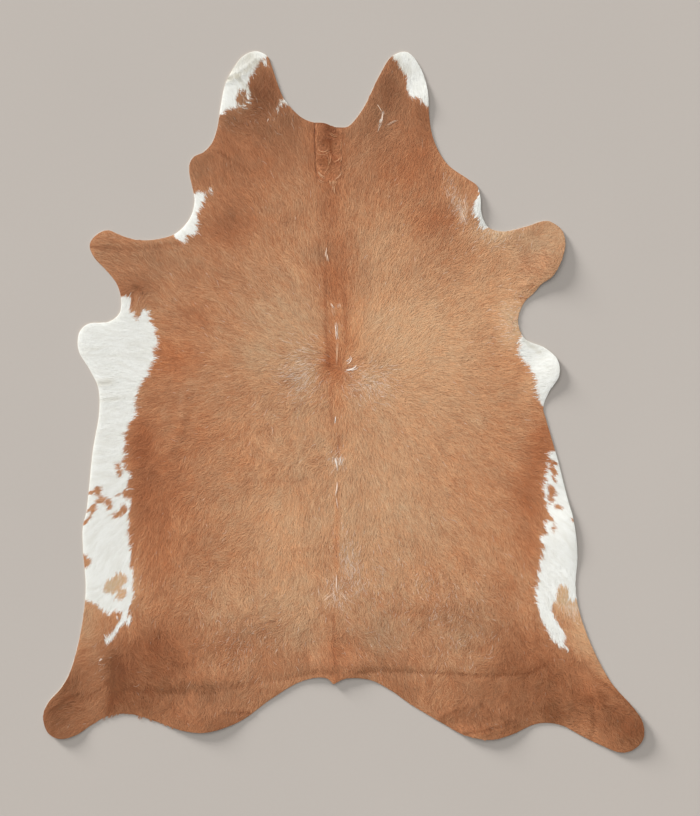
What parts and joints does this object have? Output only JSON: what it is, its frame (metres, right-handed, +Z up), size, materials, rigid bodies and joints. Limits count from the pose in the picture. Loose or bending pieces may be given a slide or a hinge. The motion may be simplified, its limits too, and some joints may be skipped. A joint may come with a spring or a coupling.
{
  "type": "cowhide rug",
  "caption": "Whole cowhide rug with its natural outline, tan coat with white flank markings, lying flat hair side up.",
  "frame": {"origin": "on the floor, under the middle of the rug's bounding box", "axes": "+Y towards the head end, +X to the right seen from above, +Z up, the hair side"},
  "size_m": [1.8324, 2.139, 0.0203],
  "materials": {
    "hide_coat": "short lying hair, satin, golden tan with white flank markings",
    "crown_coat": "longer wavy hair, satin, reddish tan",
    "seam_thread": "waxed thread, matt"
  },
  "bodies": {
    "root": {"hide": "hide_coat", "crown_insert": "crown_coat"}
  },
  "joints": []
}
